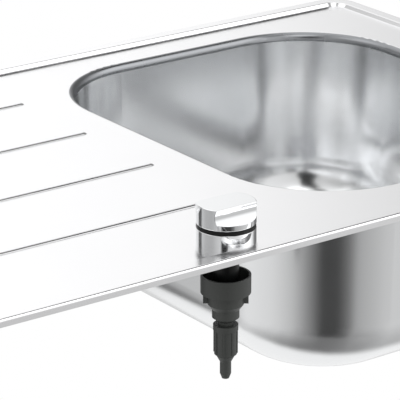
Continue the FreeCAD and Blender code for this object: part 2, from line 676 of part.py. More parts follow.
def make_pressing():
    """The formed sheet, parted at the weld below the rolled edge into deck and bowl."""
    blank = cut("FormedSheet", forming_half("UpperFace", "0"), forming_half("LowerFace", "sheet_wall"))

    zone_x = BOWL_LEFT + " - zone_margin"
    zone_y = BOWL_Y + " - " + BOWL_WIDTH + " / 2 - zone_margin"
    zone_length = "bowl_length + 2 * zone_margin"
    zone_width = BOWL_WIDTH + " + 2 * zone_margin"
    above = block(
        "AboveWorktop", "sink_length + 2 * overrun", "sink_width + 2 * overrun", "rim_height + overrun",
        "-sink_length / 2 - overrun", "-sink_width / 2 - overrun", "skirt_gap",
    )
    mouth = block("Mouth", zone_length, zone_width, "rim_height - " + SEAM, zone_x, zone_y, SEAM)
    deck = common("DeckBlank", blank, fuse("DeckZone", [above, mouth]))
    reach = "2 * overrun + sheet_wall"
    tools = [
        cylinder("ControlHole", "shank_outer + control_hole_room", reach,
                 CONTROL_X, CONTROL_Y, DECK_TOP + " - overrun - sheet_wall"),
        cylinder("TapHole", "tap_hole", reach,
                 CONTROL_X, TAP_Y, DECK_TOP + " - overrun - sheet_wall"),
    ]
    keep(cut("SinkDeck", deck, fuse("DeckHoles", tools)), "sink_deck")

    low = "(" + FLOOR_TOP + " - seat_drop - sheet_wall - overrun)"
    below = block("BowlZone", zone_length, zone_width, SEAM + " - " + low, zone_x, zone_y, low)
    shell = common("BowlBlank", blank, below)
    tools = [
        cylinder("WasteHole", "waste_hole", "seat_drop + sheet_wall + 2 * overrun", BOWL_X, BOWL_Y, low),
        cylinder("OverflowHole", "overflow_hole", "sheet_wall + 2 * overrun", WALL_X + " - overrun", BOWL_Y,
                 WALL_Z, (0, 1, 0), "90 + bowl_draft"),
    ]
    keep(cut("Bowl", shell, fuse("BowlHoles", tools)), "bowl")


def make_rim_seal():
    """Sponge seal between rim and worktop."""
    body = new_body("RimSeal")
    sketch = sketch_on(body, "XY_Plane", "Frame")
    for inset in ("seal_inset", "(seal_inset + seal_width)"):
        length, width = "sink_length - 2 * " + inset, "sink_width - 2 * " + inset
        add_rounded_rectangle(sketch, length, width, "outer_corner - " + inset)
    pad(body, sketch, "rim_height - sheet_wall")
    keep(body, "rim_seal")


def make_clip_rails():
    """Folded rails under the deck edge, which worktop clips hook into."""
    rails = []
    deck_under = DECK_TOP + " - sheet_wall"
    for side in ("-", ""):
        for x in ("-" + RAIL_X, "(" + CONTROL_X + " - " + RAIL_X + ") / 2", RAIL_X):
            corner_y = side + "(sink_width / 2 - rail_inset) - rail_width / 2"
            base = block("RailBlock", "rail_length", "rail_width", "rail_height",
                         x + " - rail_length / 2", corner_y, deck_under + " - rail_height")
            channel = block("RailChannel", "rail_length + 2 * overrun", "rail_width - 2 * rail_wall",
                            "rail_height - 2 * rail_wall", x + " - rail_length / 2 - overrun",
                            corner_y + " + rail_wall", deck_under + " - rail_height + rail_wall")
            slot = block("RailSlot", "rail_length + 2 * overrun", "rail_width - 2 * rail_lip",
                         "2 * rail_wall", x + " - rail_length / 2 - overrun",
                         corner_y + " + rail_lip", deck_under + " - rail_height - rail_wall")
            rails.append(cut("Rail", base, fuse("RailHollow", [channel, slot])))
    group = doc.addObject("Part::Compound", "ClipRails")
    group.Links = rails
    keep(group, "clip_rails")


def make_sound_pad():
    """Damping pad stuck under the bowl floor, with a hole round the waste."""
    body = new_body("SoundPad")
    sketch = sketch_on(body, "XY_Plane", "Outline")
    inset = " - 2 * (" + COVE_FOOT + " + pad_margin)"
    add_rounded_rectangle(sketch, "bowl_length" + inset, BOWL_WIDTH + inset, "pad_corner")
    add_circle(sketch, "pad_hole")
    pad(body, sketch, "pad_wall", down=True)
    place(body, BOWL_X, BOWL_Y, FLOOR_TOP + " - sheet_wall")
    keep(body, "sound_pad")


def at_control():
    """Place of the rotary control: its axis on the deck's upper face."""
    return {"x": CONTROL_X, "y": CONTROL_Y, "z": DECK_TOP}


def make_control_base():
    """Chromed base, its seal, the black slip ring, and the threaded shank that holds them."""
    fit = "(shank_outer + running_fit)"
    head = "(shank_head + running_fit)"
    web_foot = HEAD_TOP + " - web_thick"
    base = turned("KnobBase", [
        (fit, "0"), ("groove_inner", "0"), ("groove_inner", "groove_deep"), ("groove_outer", "groove_deep"),
        ("groove_outer", "0"), ("knob_radius", "0"), ("knob_radius", "base_height"), (head, "base_height"),
        (head, "head_seat"), (fit, "head_seat"),
    ], **at_control())
    tip = base.Tip
    fillet(base, tip, circle_edges(tip.Shape, value("knob_radius"), value("base_height")), "base_edge_round")
    keep(base, "knob_base")
    keep(turned("BaseSeal", [
        ("groove_inner", "0"), ("groove_outer", "0"),
        ("groove_outer", "groove_deep"), ("groove_inner", "groove_deep"),
    ], **at_control()), "knob_base_seal")
    ring = turned("SlipRing", [
        (head, "base_height"), ("knob_radius - ring_inset", "base_height"),
        ("knob_radius - ring_inset", "base_height + ring_height"), (head, "base_height + ring_height"),
    ], **at_control())
    keep(ring, "knob_slip_ring")
    keep(turned("Shank", [
        ("shank_bore", "-shank_length"), ("shank_outer", "-shank_length"), ("shank_outer", "head_seat"),
        ("shank_head", "head_seat"), ("shank_head", HEAD_TOP),
        ("spindle_radius + running_fit", HEAD_TOP), ("spindle_radius + running_fit", web_foot),
        ("shank_bore", web_foot),
    ], **at_control()), "threaded_shank")
    keep(turned("ShankWasher", [
        ("shank_outer + control_hole_room", "-sheet_wall"), ("washer_outer", "-sheet_wall"),
        ("washer_outer", "-sheet_wall - washer_wall"),
        ("shank_outer + control_hole_room", "-sheet_wall - washer_wall"),
    ], **at_control()), "shank_washer")


def make_fixing_nut():
    """Hexagon nut on the shank."""
    body = new_body("FixingNut")
    sketch = sketch_on(body, "XY_Plane", "Hexagon")
    corners = [("nut_outer * cos(%d)" % turn, "nut_outer * sin(%d)" % turn) for turn in range(30, 390, 60)]
    add_outline(sketch, corners)
    add_circle(sketch, "shank_outer + running_fit")
    pad(body, sketch, "nut_height", down=True)
    spot = at_control()
    spot["z"] += " - sheet_wall - washer_wall"
    place(body, **spot)
    keep(body, "fixing_nut")


def make_knob_cap():
    """Turning cap: a round foot that carries a grip bar, hollowed along both sides for the fingers."""
    body = new_body("KnobCap")
    disc = sketch_on(body, "XY_Plane", "Disc")
    add_circle(disc, "knob_radius")
    solid = pad(body, disc, "cap_height")
    edges = circle_edges(solid.Shape, value("knob_radius"), value("cap_height"))
    edges += circle_edges(solid.Shape, value("knob_radius"), 0)
    fillet(body, solid, edges, "cap_edge_round")
    for side in (-1, 1):
        hollow = sketch_on(body, "YZ_Plane", "Hollow")
        add_finger_hollow(hollow, side)
        pocket(body, hollow, "2 * knob_radius + 2 * overrun", both_ways=True)
    socket = sketch_on(body, "XY_Plane", "Socket")
    add_circle(socket, "spindle_tenon + running_fit")
    solid = pocket(body, socket, "tenon_length + moving_gap", up=True)
    fillet(body, solid, hollow_edges(solid.Shape), "grip_edge_round")
    spot = at_control()
    spot["z"] += " + " + CAP_FOOT
    place(body, **spot)
    keep(body, "knob_cap")


def hollow_edges(shape):
    """Names of the sharp edges about the hollows: the top edges, the rims of the ledges, the corners."""
    ledge, top = value("ledge_height"), value("cap_height")
    names = []
    for number, edge in enumerate(shape.Edges, start=1):
        low = min(vertex.Z for vertex in edge.Vertexes)
        straight = edge.BoundBox.YLength < SAME
        at_top = straight and abs(low - top) < SAME
        from_ledge = not straight and abs(low - ledge) < SAME
        if at_top or from_ledge:
            names.append("Edge%d" % number)
    return names


def add_finger_hollow(sketch, side):
    """Outline of the hollow on one side (-1 or 1).

    A concave arc runs from the ledge to the top edge, and straight lines close it round outside.
    """
    sign = "-" if side < 0 else ""
    face, far = sign + "grip_half", sign + "(knob_radius + overrun)"
    foot, high = "ledge_height", "cap_height + overrun"
    rise = "((cap_height - ledge_height) / 2)"
    deepest = vector(sign + "(grip_half - scoop_bite)", foot + " + " + rise)
    arc = [vector(face, foot), deepest, vector(face, "cap_height")]
    foot_end, top_end = 1, 2
    if side > 0:
        arc.reverse()
        foot_end, top_end = 2, 1
    sketch.addGeometry(Part.Arc(*arc), False)
    corners = [(face, foot), (far, foot), (far, high), (face, high), (face, "cap_height")]
    places = [vector(x, y) for x, y in corners]
    for start, end in zip(places, places[1:]):
        sketch.addGeometry(Part.LineSegment(start, end), False)
    lines = len(corners) - 1
    for number, (x, y) in enumerate(corners[:-1], start=1):
        pin_point(sketch, number, 1, x, y, "corner_%d" % number)
    pin_point(sketch, lines, 2, *corners[-1], "corner_end")
    for number in range(1, lines):
        sketch.addConstraint(Sketcher.Constraint("Coincident", number, 2, number + 1, 1))
    sketch.addConstraint(Sketcher.Constraint("Coincident", 0, foot_end, 1, 1))
    sketch.addConstraint(Sketcher.Constraint("Coincident", 0, top_end, lines, 2))
    scoop = "(scoop_bite / 2 + " + rise + " * " + rise + " / 2 / scoop_bite)"
    measure(sketch, Sketcher.Constraint("Radius", 0, value(scoop)), "scoop", scoop)


def make_drive():
    """Spindle turned by the cap, its circlip, and the slider that its coarse screw draws up."""
    keep(turned("DriveSpindle", [
        ("0", "-screw_end"), ("screw_radius", "-screw_end"), ("screw_radius", "-screw_top"),
        ("spindle_radius", "-screw_top"), ("spindle_radius", HEAD_TOP + " + moving_gap"),
        ("spindle_collar", HEAD_TOP + " + moving_gap"), ("spindle_collar", CAP_FOOT),
        ("spindle_tenon", CAP_FOOT), ("spindle_tenon", CAP_FOOT + " + tenon_length"),
        ("0", CAP_FOOT + " + tenon_length"),
    ], **at_control()), "drive_spindle")
    web_foot = HEAD_TOP + " - web_thick - circlip_gap"
    keep(turned("Circlip", [
        ("spindle_radius", web_foot + " - circlip_wall"), ("circlip_outer", web_foot + " - circlip_wall"),
        ("circlip_outer", web_foot), ("spindle_radius", web_foot),
    ], **at_control()), "spindle_circlip")
    bore = "(screw_radius + screw_slack)"
    keep(turned("PullSlider", [
        (bore, "-slider_top"), ("slider_radius", "-slider_top"),
        ("slider_radius", "-slider_end - slider_floor"), ("stem_radius", "-slider_end - slider_floor"),
        ("stem_radius", "-stem_end"), ("0", "-stem_end"),
        ("0", "-slider_end"), (bore, "-slider_end"),
    ], **at_control()), "pull_slider")


def make_actuator():
    """Coupling cup, actuator body with its snap tabs, cable sleeve and tip, hanging from the shank."""
    fit = "(shank_outer + running_fit)"
    keep(turned("CouplingCup", [
        (fit, "-shank_length"), ("cup_radius", "-shank_length"), ("cup_radius", "-cup_rim"),
        ("cup_radius - cup_wall", "-cup_rim"), ("cup_radius - cup_wall", "cup_floor - shank_length"),
        (fit, "cup_floor - shank_length"),
    ], **at_control()), "coupling_cup")

    room = "(slider_radius + slider_room)"
    floor = "(-slider_end - slider_floor - slider_floor_gap)"
    body = turned("ActuatorBody", [
        (room, "-shank_length"), ("body_radius", "-shank_length"), ("body_radius", "-body_straight"),
        ("body_waist", "-body_waist_top"), ("body_waist", "-body_waist_end"),
        ("neck_radius", "-body_cone_end"), ("neck_radius", "-neck_end"),
        ("neck_bore", "-neck_end"), ("neck_bore", floor), (room, floor),
    ], **at_control())
    tabs = sketch_on(body, "XY_Plane", "Tabs", z="-shank_length")
    inner = "(body_radius - cup_wall)"
    for side in ("-", ""):
        add_outline(tabs, [
            (side + inner, "-tab_width / 2"), (side + "tab_reach", "-tab_width / 2"),
            (side + "tab_reach", "tab_width / 2"), (side + inner, "tab_width / 2"),
        ])
    pad(body, tabs, "tab_end - shank_length", down=True)
    place(body, axis=(0, 0, -1), angle="tab_bearing", **at_control())
    keep(body, "actuator_body")

    sleeve = turned("CableSleeve", [
        ("neck_radius + running_fit", "-sleeve_top"), ("sleeve_collar", "-sleeve_top"),
        ("sleeve_collar", "-sleeve_collar_end"), ("sleeve_radius", "-sleeve_collar_end"),
        ("sleeve_radius", "-sleeve_end"), ("sleeve_bore", "-sleeve_end"), ("sleeve_bore", "-sleeve_step"),
        ("neck_radius + running_fit", "-sleeve_step"),
    ], **at_control())
    rib = sketch_on(sleeve, "XY_Plane", "GripRib", z="-sleeve_collar_end")
    inside = "(sleeve_radius - (sleeve_radius - neck_radius) / 4)"
    add_outline(rib, [
        (inside, "-grip_rib_width / 2"), ("grip_rib_reach", "-grip_rib_width / 2"),
        ("grip_rib_reach", "grip_rib_width / 2"), (inside, "grip_rib_width / 2"),
    ])
    polar(sleeve, [pad(sleeve, rib, "grip_rib_end - sleeve_collar_end", down=True)], "grip_rib_count")
    keep(sleeve, "cable_sleeve")

    tip = turned("SleeveTip", [
        ("wire_bore", "-tip_spigot_top"), ("sleeve_bore - running_fit", "-tip_spigot_top"),
        ("sleeve_bore - running_fit", "-sleeve_end"), ("tip_shoulder", "-sleeve_end"),
        ("tip_shoulder", "-tip_shoulder_end"), ("tip_radius", "-tip_cone_end"),
        ("tip_radius", "-tip_straight_end"), ("tip_nose", "-tip_end"), ("wire_bore", "-tip_end"),
    ], **at_control())
    keep(tip, "sleeve_tip")


def at_waste():
    """Place of the waste: its axis on the bowl floor's upper face."""
    return {"x": BOWL_X, "y": BOWL_Y, "z": FLOOR_TOP}


def make_waste_seals():
    """Seals above and below the bowl floor."""
    inner = "(waste_hole + seal_room)"
    keep(turned("FlangeSeal", [
        (inner, "-seat_drop"), ("flange_radius - seal_room", "-seat_drop"),
        ("flange_radius - seal_room", FLANGE_FOOT), (inner, FLANGE_FOOT),
    ], **at_waste()), "flange_seal")
    keep(turned("BodySeal", [
        (inner, "-seat_drop - sheet_wall"), (inner, "-" + BODY_TOP),
        ("body_flange - seal_room", "-" + BODY_TOP), ("body_flange - seal_room", "-seat_drop - sheet_wall"),
    ], **at_waste()), "body_seal")


def make_waste_flange():
    """Pressed strainer cup with its flange in the bowl floor."""
    hole = "(guide_outer + guide_hole_room)"
    body = turned("WasteFlange", [
        (hole, "-" + CUP_FLOOR_UNDER), ("strainer_outer", "-" + CUP_FLOOR_UNDER),
        ("strainer_outer", FLANGE_FOOT), ("flange_radius", FLANGE_FOOT),
        ("flange_radius", FLANGE_FOOT + " + cup_sheet"), (STRAINER_BORE, FLANGE_FOOT + " + cup_sheet"),
        (STRAINER_BORE, "-strainer_deep"), (hole, "-strainer_deep"),
    ], **at_waste())
    tip = body.Tip
    outer = circle_edges(tip.Shape, value("strainer_outer"), -value(CUP_FLOOR_UNDER))
    tip = fillet(body, tip, outer, "strainer_round")
    inner = circle_edges(tip.Shape, value(STRAINER_BORE), -value("strainer_deep"))
    fillet(body, tip, inner, "strainer_round - cup_sheet")
    for radius, ring, count, bearing in (
        ("drain_hole", "drain_ring", "drain_count", "(180 / drain_count)"),
        ("fixing_hole", "fixing_ring", "fixing_count", "fixing_bearing"),
    ):
        sketch = sketch_on(body, "XY_Plane", "Hole", z="overrun - strainer_deep")
        add_circle(sketch, radius, ring + " * cos(" + bearing + ")", ring + " * sin(" + bearing + ")")
        polar(body, [pocket(body, sketch, "2 * overrun + cup_sheet")], count)
    keep(body, "strainer_cup")


def make_waste_body():
    """Moulded waste body: chamber, outlet, overflow port, bosses, lever lugs, gland and cable bracket."""
    inner = "(chamber_outer - plastic_wall)"
    under = "(chamber_floor + chamber_floor_wall)"
    shell = turned("WasteShell", [
        (inner, "-" + BODY_TOP), ("body_flange", "-" + BODY_TOP),
        ("body_flange", "-" + BODY_TOP + " - body_flange_wall"),
        ("chamber_outer", "-" + BODY_TOP + " - body_flange_wall"), ("chamber_outer", "-" + under),
        ("tail_outer", "-" + under), ("tail_outer", "-" + under + " - tail_length"),
        ("tail_bore", "-" + under + " - tail_length"), ("tail_bore", "-chamber_floor"),
        (inner, "-chamber_floor"),
    ])
    lean = inner + " + plastic_wall / 2"
    port = cylinder("Port", "port_outer", "port_reach - (" + lean + ")", lean, "0", "-port_drop",
                    (0, 1, 0), "90")
    pieces, drills = [shell, port], []
    for number in range(int(value("fixing_count"))):
        bearing = "(fixing_bearing + %d * 360 / fixing_count)" % number
        x, y = "fixing_ring * cos" + bearing, "fixing_ring * sin" + bearing
        height = "chamber_floor - " + CUP_FLOOR_UNDER
        pieces.append(cylinder("Boss", "boss_radius", height, x, y, "-chamber_floor"))
        drills.append(cylinder("Pilot", "screw_shank + pilot_clearance", height, x, y,
                               "chamber_floor_wall - chamber_floor"))
    for y in ("-lever_half - lug_gap - lug_wall", "lever_half + lug_gap"):
        pieces.append(block("Lug", "2 * lug_half", "lug_wall", "chamber_floor - lug_top",
                            "lever_arm - lug_half", y, "-chamber_floor"))
    pieces.append(cylinder("Gland", "gland_radius", "gland_outer - gland_inner",
                           "lever_arm", "gland_inner", "-lever_drop", (-1, 0, 0), "90"))
    pieces.append(block("Bracket", "bracket_wall", "bracket_outer - bracket_inner",
                        "bracket_foot - bracket_top", "-bracket_left", "bracket_inner", "-bracket_foot"))
    drills.append(cylinder("PortBore", "port_bore", "port_reach + overrun - strainer_outer",
                           "strainer_outer", "0", "-port_drop", (0, 1, 0), "90"))
    drills.append(cylinder("AxleBore", "axle_radius + running_fit", "axle_outer_end + axle_inner_end",
                           "lever_arm", "-axle_inner_end - running_fit", "-lever_drop", (-1, 0, 0), "90"))
    drills.append(cylinder("GlandRecess", "axle_radius + running_fit + 2 * gland_ring_wire",
                           "gland_ring_deep + overrun", "lever_arm", "gland_outer - gland_ring_deep",
                           "-lever_drop", (-1, 0, 0), "90"))
    drills.append(cylinder("CableSeat", "cable_hole", "bracket_wall + 2 * overrun", "-bracket_left - overrun",
                           "arm_inner + arm_wall / 2", "-lever_drop - arm_reach", (0, 1, 0), "90"))
    body = cut("WasteBody", fuse("WasteSolid", pieces), fuse("WasteDrills", drills))
    place(body, **at_waste())
    keep(body, "waste_body")


def make_flange_screws():
    """Screws that draw the strainer cup down on the waste body."""
    screws = []
    for number in range(int(value("fixing_count"))):
        bearing = "(fixing_bearing + %d * 360 / fixing_count)" % number
        x, y = "fixing_ring * cos" + bearing, "fixing_ring * sin" + bearing
        head = cylinder("ScrewHead", "screw_head", "screw_head_height", x, y, "-strainer_deep")
        shank = cylinder("ScrewShank", "screw_shank", "screw_length + screw_head_height / 2", x, y,
                         "-strainer_deep - screw_length")
        slot = block("ScrewSlot", "2 * screw_head", "screw_head_height / 2", "screw_head_height / 2",
                     x + " - screw_head", y + " - screw_head_height / 4",
                     "screw_head_height / 2 - strainer_deep")
        screws.append(cut("Screw", fuse("ScrewSolid", [head, shank]), slot))
    group = doc.addObject("Part::Compound", "FlangeScrews")
    group.Links = screws
    place(group, **at_waste())
    keep(group, "flange_screws")


def make_lift():
    """Guide bush, lift pin, lever with axle and gland ring, and the arm that the pull wire works."""
    keep(turned("PinGuide", [
        (GUIDE_BORE, "-" + CUP_FLOOR_UNDER), ("guide_outer", "-" + CUP_FLOOR_UNDER),
        ("guide_outer", "-strainer_deep"), ("guide_collar", "-strainer_deep"),
        ("guide_collar", "guide_collar_wall - strainer_deep"),
        ("guide_outer", "guide_collar_wall - strainer_deep"), ("guide_outer", "-guide_top"),
        (GUIDE_BORE, "-guide_top"),
    ], **at_waste()), "pin_guide")
    keep(turned("LiftPin", [
        ("0", "-" + PIN_FOOT), ("pin_radius", "-" + PIN_FOOT), ("pin_radius", "-" + PIN_TOP),
        ("0", "-" + PIN_TOP),
    ], **at_waste()), "lift_pin")

    axle_x, axle_z = BOWL_X + " + lever_arm", FLOOR_TOP + " - lever_drop"
    keep(cylinder("LeverAxle", "axle_radius", "axle_outer_end + axle_inner_end - 2 * running_fit", axle_x,
                  BOWL_Y + " - axle_inner_end", axle_z, (-1, 0, 0), "90"), "lever_axle")
    hub = cylinder("LeverHub", "lever_hub", "2 * lever_half", "0", "-lever_half", "0", (-1, 0, 0), "90")
    bar = block("LeverBar", "lever_arm - lever_hub / 2", "lever_bar", "lever_bar",
                "-lever_arm", "-lever_bar / 2", "-lever_bar / 2")
    ball = doc.addObject("Part::Sphere", "LeverBall")
    bind(ball, Radius="lever_ball")
    place(ball, "-lever_arm")
    bore = cylinder("LeverBore", "axle_radius", "2 * lever_half + 2 * overrun",
                    "0", "-lever_half - overrun", "0", (-1, 0, 0), "90")
    lever = cut("LiftLever", fuse("LeverSolid", [hub, bar, ball]), bore)
    place(lever, axle_x, BOWL_Y, axle_z, (0, -1, 0), LEVER_TILT)
    keep(lever, "lift_lever")

    hub = cylinder("ArmHub", "arm_hub", "arm_wall", "0", "0", "0", (-1, 0, 0), "90")
    bar = block("ArmBar", "arm_width", "arm_wall", "arm_reach", "-arm_width / 2", "0", "-arm_reach")
    end = cylinder("ArmEnd", "arm_width / 2", "arm_wall", "0", "0", "-arm_reach", (-1, 0, 0), "90")
    bore = cylinder("ArmBore", "axle_radius", "arm_wall + 2 * overrun", "0", "-overrun", "0",
                    (-1, 0, 0), "90")
    eye = cylinder("WireEye", "eye_radius", "arm_wall + 2 * overrun", "0", "-overrun", "-arm_reach",
                   (-1, 0, 0), "90")
    arm = cut("CableArm", fuse("ArmSolid", [hub, bar, end]), fuse("ArmHoles", [bore, eye]))
    place(arm, axle_x, BOWL_Y + " + arm_inner", axle_z, (0, -1, 0), LEVER_TILT)
    keep(arm, "cable_arm")

    ring = doc.addObject("Part::Torus", "GlandRing")
    bind(ring, Radius1="axle_radius + running_fit + gland_ring_wire", Radius2="gland_ring_wire")
    ring_y = BOWL_Y + " + gland_outer - gland_ring_deep + gland_ring_wire"
    place(ring, axle_x, ring_y, axle_z, (-1, 0, 0), "90")
    keep(ring, "gland_ring")


def make_basket():
    """Perforated strainer basket with its closing seal, post and grip, lifted as one."""
    hole = "(guide_outer + post_room)"
    body = turned("StrainerBasket", [
        (hole, "-basket_foot"), ("basket_foot_radius", "-basket_foot"),
        ("basket_top_radius", "-basket_rim_top - basket_sheet"),
        ("basket_rim_radius", "-basket_rim_top - basket_sheet"), ("basket_rim_radius", "-basket_rim_top"),
        ("basket_top_radius - basket_sheet", "-basket_rim_top"),
        ("basket_foot_radius - basket_sheet", "basket_sheet - basket_foot"),
        (hole, "basket_sheet - basket_foot"),
    ], **at_waste())
    for ring, count in (("inner_ring", "inner_count"), ("outer_ring", "outer_count")):
        sketch = sketch_on(body, "XY_Plane", "Perforation", z="overrun - basket_foot")
        add_circle(sketch, "basket_hole", ring)
        polar(body, [pocket(body, sketch, "2 * overrun + basket_sheet")], count)
    side = sketch_on(body, "YZ_Plane", "SideHole", z="(basket_top_radius + basket_foot_radius) / 2 + overrun")
    add_circle(side, "basket_hole", "0", "-side_drop")
    polar(body, [pocket(body, side, "2 * overrun + 2 * basket_sheet")], "side_count")
    keep(body, "strainer_basket")
    keep(turned("BasketSeal", [
        ("basket_seal_inner", "moving_gap - strainer_deep"),
        ("basket_seal_outer", "moving_gap - strainer_deep"),
        ("basket_seal_outer", "-basket_foot"), ("basket_seal_inner", "-basket_foot"),
    ], **at_waste()), "basket_seal")
    keep(turned("BasketPost", [
        (hole, "basket_sheet - basket_foot"), ("post_outer", "basket_sheet - basket_foot"),
        ("post_outer", "-post_top"), ("0", "-post_top"), ("0", "-post_top - post_roof"),
        (hole, "-post_top - post_roof"),
    ], **at_waste()), "basket_post")
    keep(turned("BasketGrip", [
        ("0", "-post_top"), ("grip_stem", "-post_top"), ("grip_stem", "-grip_under"),
        ("grip_radius", "-grip_under"), ("grip_radius", "-grip_top"), ("0", "-grip_top"),
    ], **at_waste()), "basket_grip")


def at_overflow():
    """Place of the overflow: on the inner face of the right bowl wall, its Z axis outward, square to it."""
    return {"x": WALL_X, "y": BOWL_Y, "z": WALL_Z, "axis": (0, 1, 0), "angle": "90 + bowl_draft"}


def make_overflow():
    """Perforated plate, screw, gasket and moulded head on the bowl's right wall."""
    plate = turned("OverflowPlate", [
        ("fixing_hole", "-plate_wall"), ("plate_radius", "-plate_wall"), ("plate_radius", "0"),
        ("fixing_hole", "0"),
    ], **at_overflow())
    sketch = sketch_on(plate, "XY_Plane", "PlateHole", z="overrun")
    add_circle(sketch, "plate_hole", "plate_ring")
    polar(plate, [pocket(plate, sketch, "2 * overrun + plate_wall")], "plate_count")
    keep(plate, "overflow_plate")
    keep(turned("OverflowScrew", [
        ("0", "-plate_wall - screw_head_height"), ("screw_head", "-plate_wall - screw_head_height"),
        ("screw_head", "-plate_wall"), ("screw_shank", "-plate_wall"),
        ("screw_shank", "overflow_screw_length"), ("0", "overflow_screw_length"),
    ], **at_overflow()), "overflow_screw")
    inner = "(overflow_hole + seal_room)"
    front = "(sheet_wall + gasket_wall)"
    keep(turned("OverflowGasket", [
        (inner, "sheet_wall"), ("gasket_outer", "sheet_wall"), ("gasket_outer", front), (inner, front),
    ], **at_overflow()), "overflow_gasket")

    bore = "(head_outer - plastic_wall)"
    back = front + " + head_deep"
    pilot = "(screw_shank + pilot_clearance)"
    shell = turned("HeadShell", [
        (inner, front), ("head_outer", front), ("head_outer", back), (pilot, back), (pilot, "sheet_wall"),
        ("boss_radius", "sheet_wall"), ("boss_radius", back + " - plastic_wall"),
        (bore, back + " - plastic_wall"), (bore, front + " + plastic_wall"),
        (inner, front + " + plastic_wall"),
    ])
    spout = cylinder("Spout", "port_outer", "spout_reach - head_outer + plastic_wall / 2",
                     "head_outer - plastic_wall / 2", "0", HEAD_MIDDLE, (0, 1, 0), "90")
    drill = cylinder("SpoutBore", "port_bore", "spout_reach - head_outer + 2 * plastic_wall + overrun",
                     "head_outer - 2 * plastic_wall", "0", HEAD_MIDDLE, (0, 1, 0), "90")
    head = cut("OverflowHead", fuse("HeadSolid", [shell, spout]), drill)
    place(head, **at_overflow())
    keep(head, "overflow_head")


def make_overflow_pipe():
    """Bent pipe from the overflow head to the port of the waste body, and the two collars on its ends."""
    drop = (
        "(" + WALL_X + " * sin(bowl_draft) + " + WALL_Z + " * cos(bowl_draft) - spout_reach - " + ELBOW_X
        + " * sin(bowl_draft) - (" + PIPE_Z + " + elbow_round) * cos(bowl_draft))"
    )
    run = ELBOW_X + " - " + BOWL_X + " - port_reach"
    start_x = ELBOW_X + " + elbow_round * cos(bowl_draft)"
    start_z = PIPE_Z + " + elbow_round - elbow_round * sin(bowl_draft)"
    tubes = []
    for name, radius, extra in (("Outer", "port_outer", "0"), ("Inner", "port_bore", "overrun")):
        level = cylinder(name + "Run", radius, run + " + " + extra,
                         BOWL_X + " + port_reach - " + extra, BOWL_Y, PIPE_Z, (0, 1, 0), "90")
        rise = cylinder(name + "Rise", radius, drop + " + " + extra, start_x, BOWL_Y, start_z,
                        (0, 1, 0), "bowl_draft")
        bend = doc.addObject("Part::Torus", name + "Bend")
        bind(bend, Radius1="elbow_round", Radius2=radius, Angle3="90 - bowl_draft")
        place(bend, ELBOW_X, BOWL_Y, PIPE_Z + " + elbow_round")
        first, second, third = FreeCAD.Vector(0, 0, -1), FreeCAD.Vector(1, 0, 0), FreeCAD.Vector(0, -1, 0)
        bend.Placement.Rotation = FreeCAD.Rotation(first, second, third, "ZXY")
        tubes.append(fuse(name + "Tube", [level, bend, rise]))
    keep(cut("OverflowPipe", tubes[0], tubes[1]), "overflow_pipe")

    fit = "(port_outer + running_fit)"
    section = [(fit, "-collar_length / 2"), ("collar_outer", "-collar_length / 2"),
               ("collar_outer", "collar_length / 2"), (fit, "collar_length / 2")]
    lower = turned("LowerCollar", section, BOWL_X + " + port_reach", BOWL_Y, PIPE_Z, (0, 1, 0), "90")
    upper = turned(
        "UpperCollar", section, start_x + " + " + drop + " * sin(bowl_draft)", BOWL_Y,
        start_z + " + " + drop + " * cos(bowl_draft)", (0, 1, 0), "bowl_draft",
    )
    group = doc.addObject("Part::Compound", "PipeCollars")
    group.Links = [lower, upper]
    keep(group, "pipe_collars")


def check_and_write():
    """Stop on any failed object or bad shape; otherwise write one file per sub-part."""
    doc.recompute()
    for thing in doc.Objects:
        if "Invalid" in thing.State or "Error" in thing.State:
            raise RuntimeError("%s (%s) is %s" % (thing.Name, thing.Label, thing.State))
    for thing in made:
        if thing.Shape.isNull() or not thing.Shape.isValid() or not thing.Shape.Solids:
            raise RuntimeError("%s has a bad shape" % thing.Label)
    os.makedirs("parts", exist_ok=True)
    for thing in made:
        thing.Shape.exportStep("parts/%s.step" % thing.Label)
        print("%-18s %2d solids %10.1f mm3" % (thing.Label, len(thing.Shape.Solids), thing.Shape.Volume))


fill_sheet()
make_pressing()
make_rim_seal()
make_clip_rails()
make_sound_pad()
make_control_base()
make_fixing_nut()
make_knob_cap()
make_drive()
make_actuator()
make_waste_seals()
make_waste_flange()
make_waste_body()
make_flange_screws()
make_lift()
make_basket()
make_overflow()
make_overflow_pipe()
check_and_write()
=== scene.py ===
import logging
import math
from dataclasses import dataclass
from enum import Enum
from typing import Any

import bmesh
import bpy
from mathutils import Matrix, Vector


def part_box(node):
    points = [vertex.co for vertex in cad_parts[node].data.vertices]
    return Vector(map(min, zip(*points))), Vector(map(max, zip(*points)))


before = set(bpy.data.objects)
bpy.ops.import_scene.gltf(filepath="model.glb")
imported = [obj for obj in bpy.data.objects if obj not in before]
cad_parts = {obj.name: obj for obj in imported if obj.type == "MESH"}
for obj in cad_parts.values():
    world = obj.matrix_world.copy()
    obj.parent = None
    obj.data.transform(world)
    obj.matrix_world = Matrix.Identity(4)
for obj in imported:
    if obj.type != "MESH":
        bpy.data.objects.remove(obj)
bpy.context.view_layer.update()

LOG = logging.getLogger("kitchen_sink")
MM = 0.001

Colour = tuple[float, float, float, float]
Place = tuple[float, float, float]
Span = tuple[float, float]
Stops = tuple[tuple[float, float], ...]

WHITE: Colour = (1.0, 1.0, 1.0, 1.0)
# Where a node that mixes colours has its two colours, and its result.
FIRST_COLOUR = 6
SECOND_COLOUR = 7
MIXED_COLOUR = 2


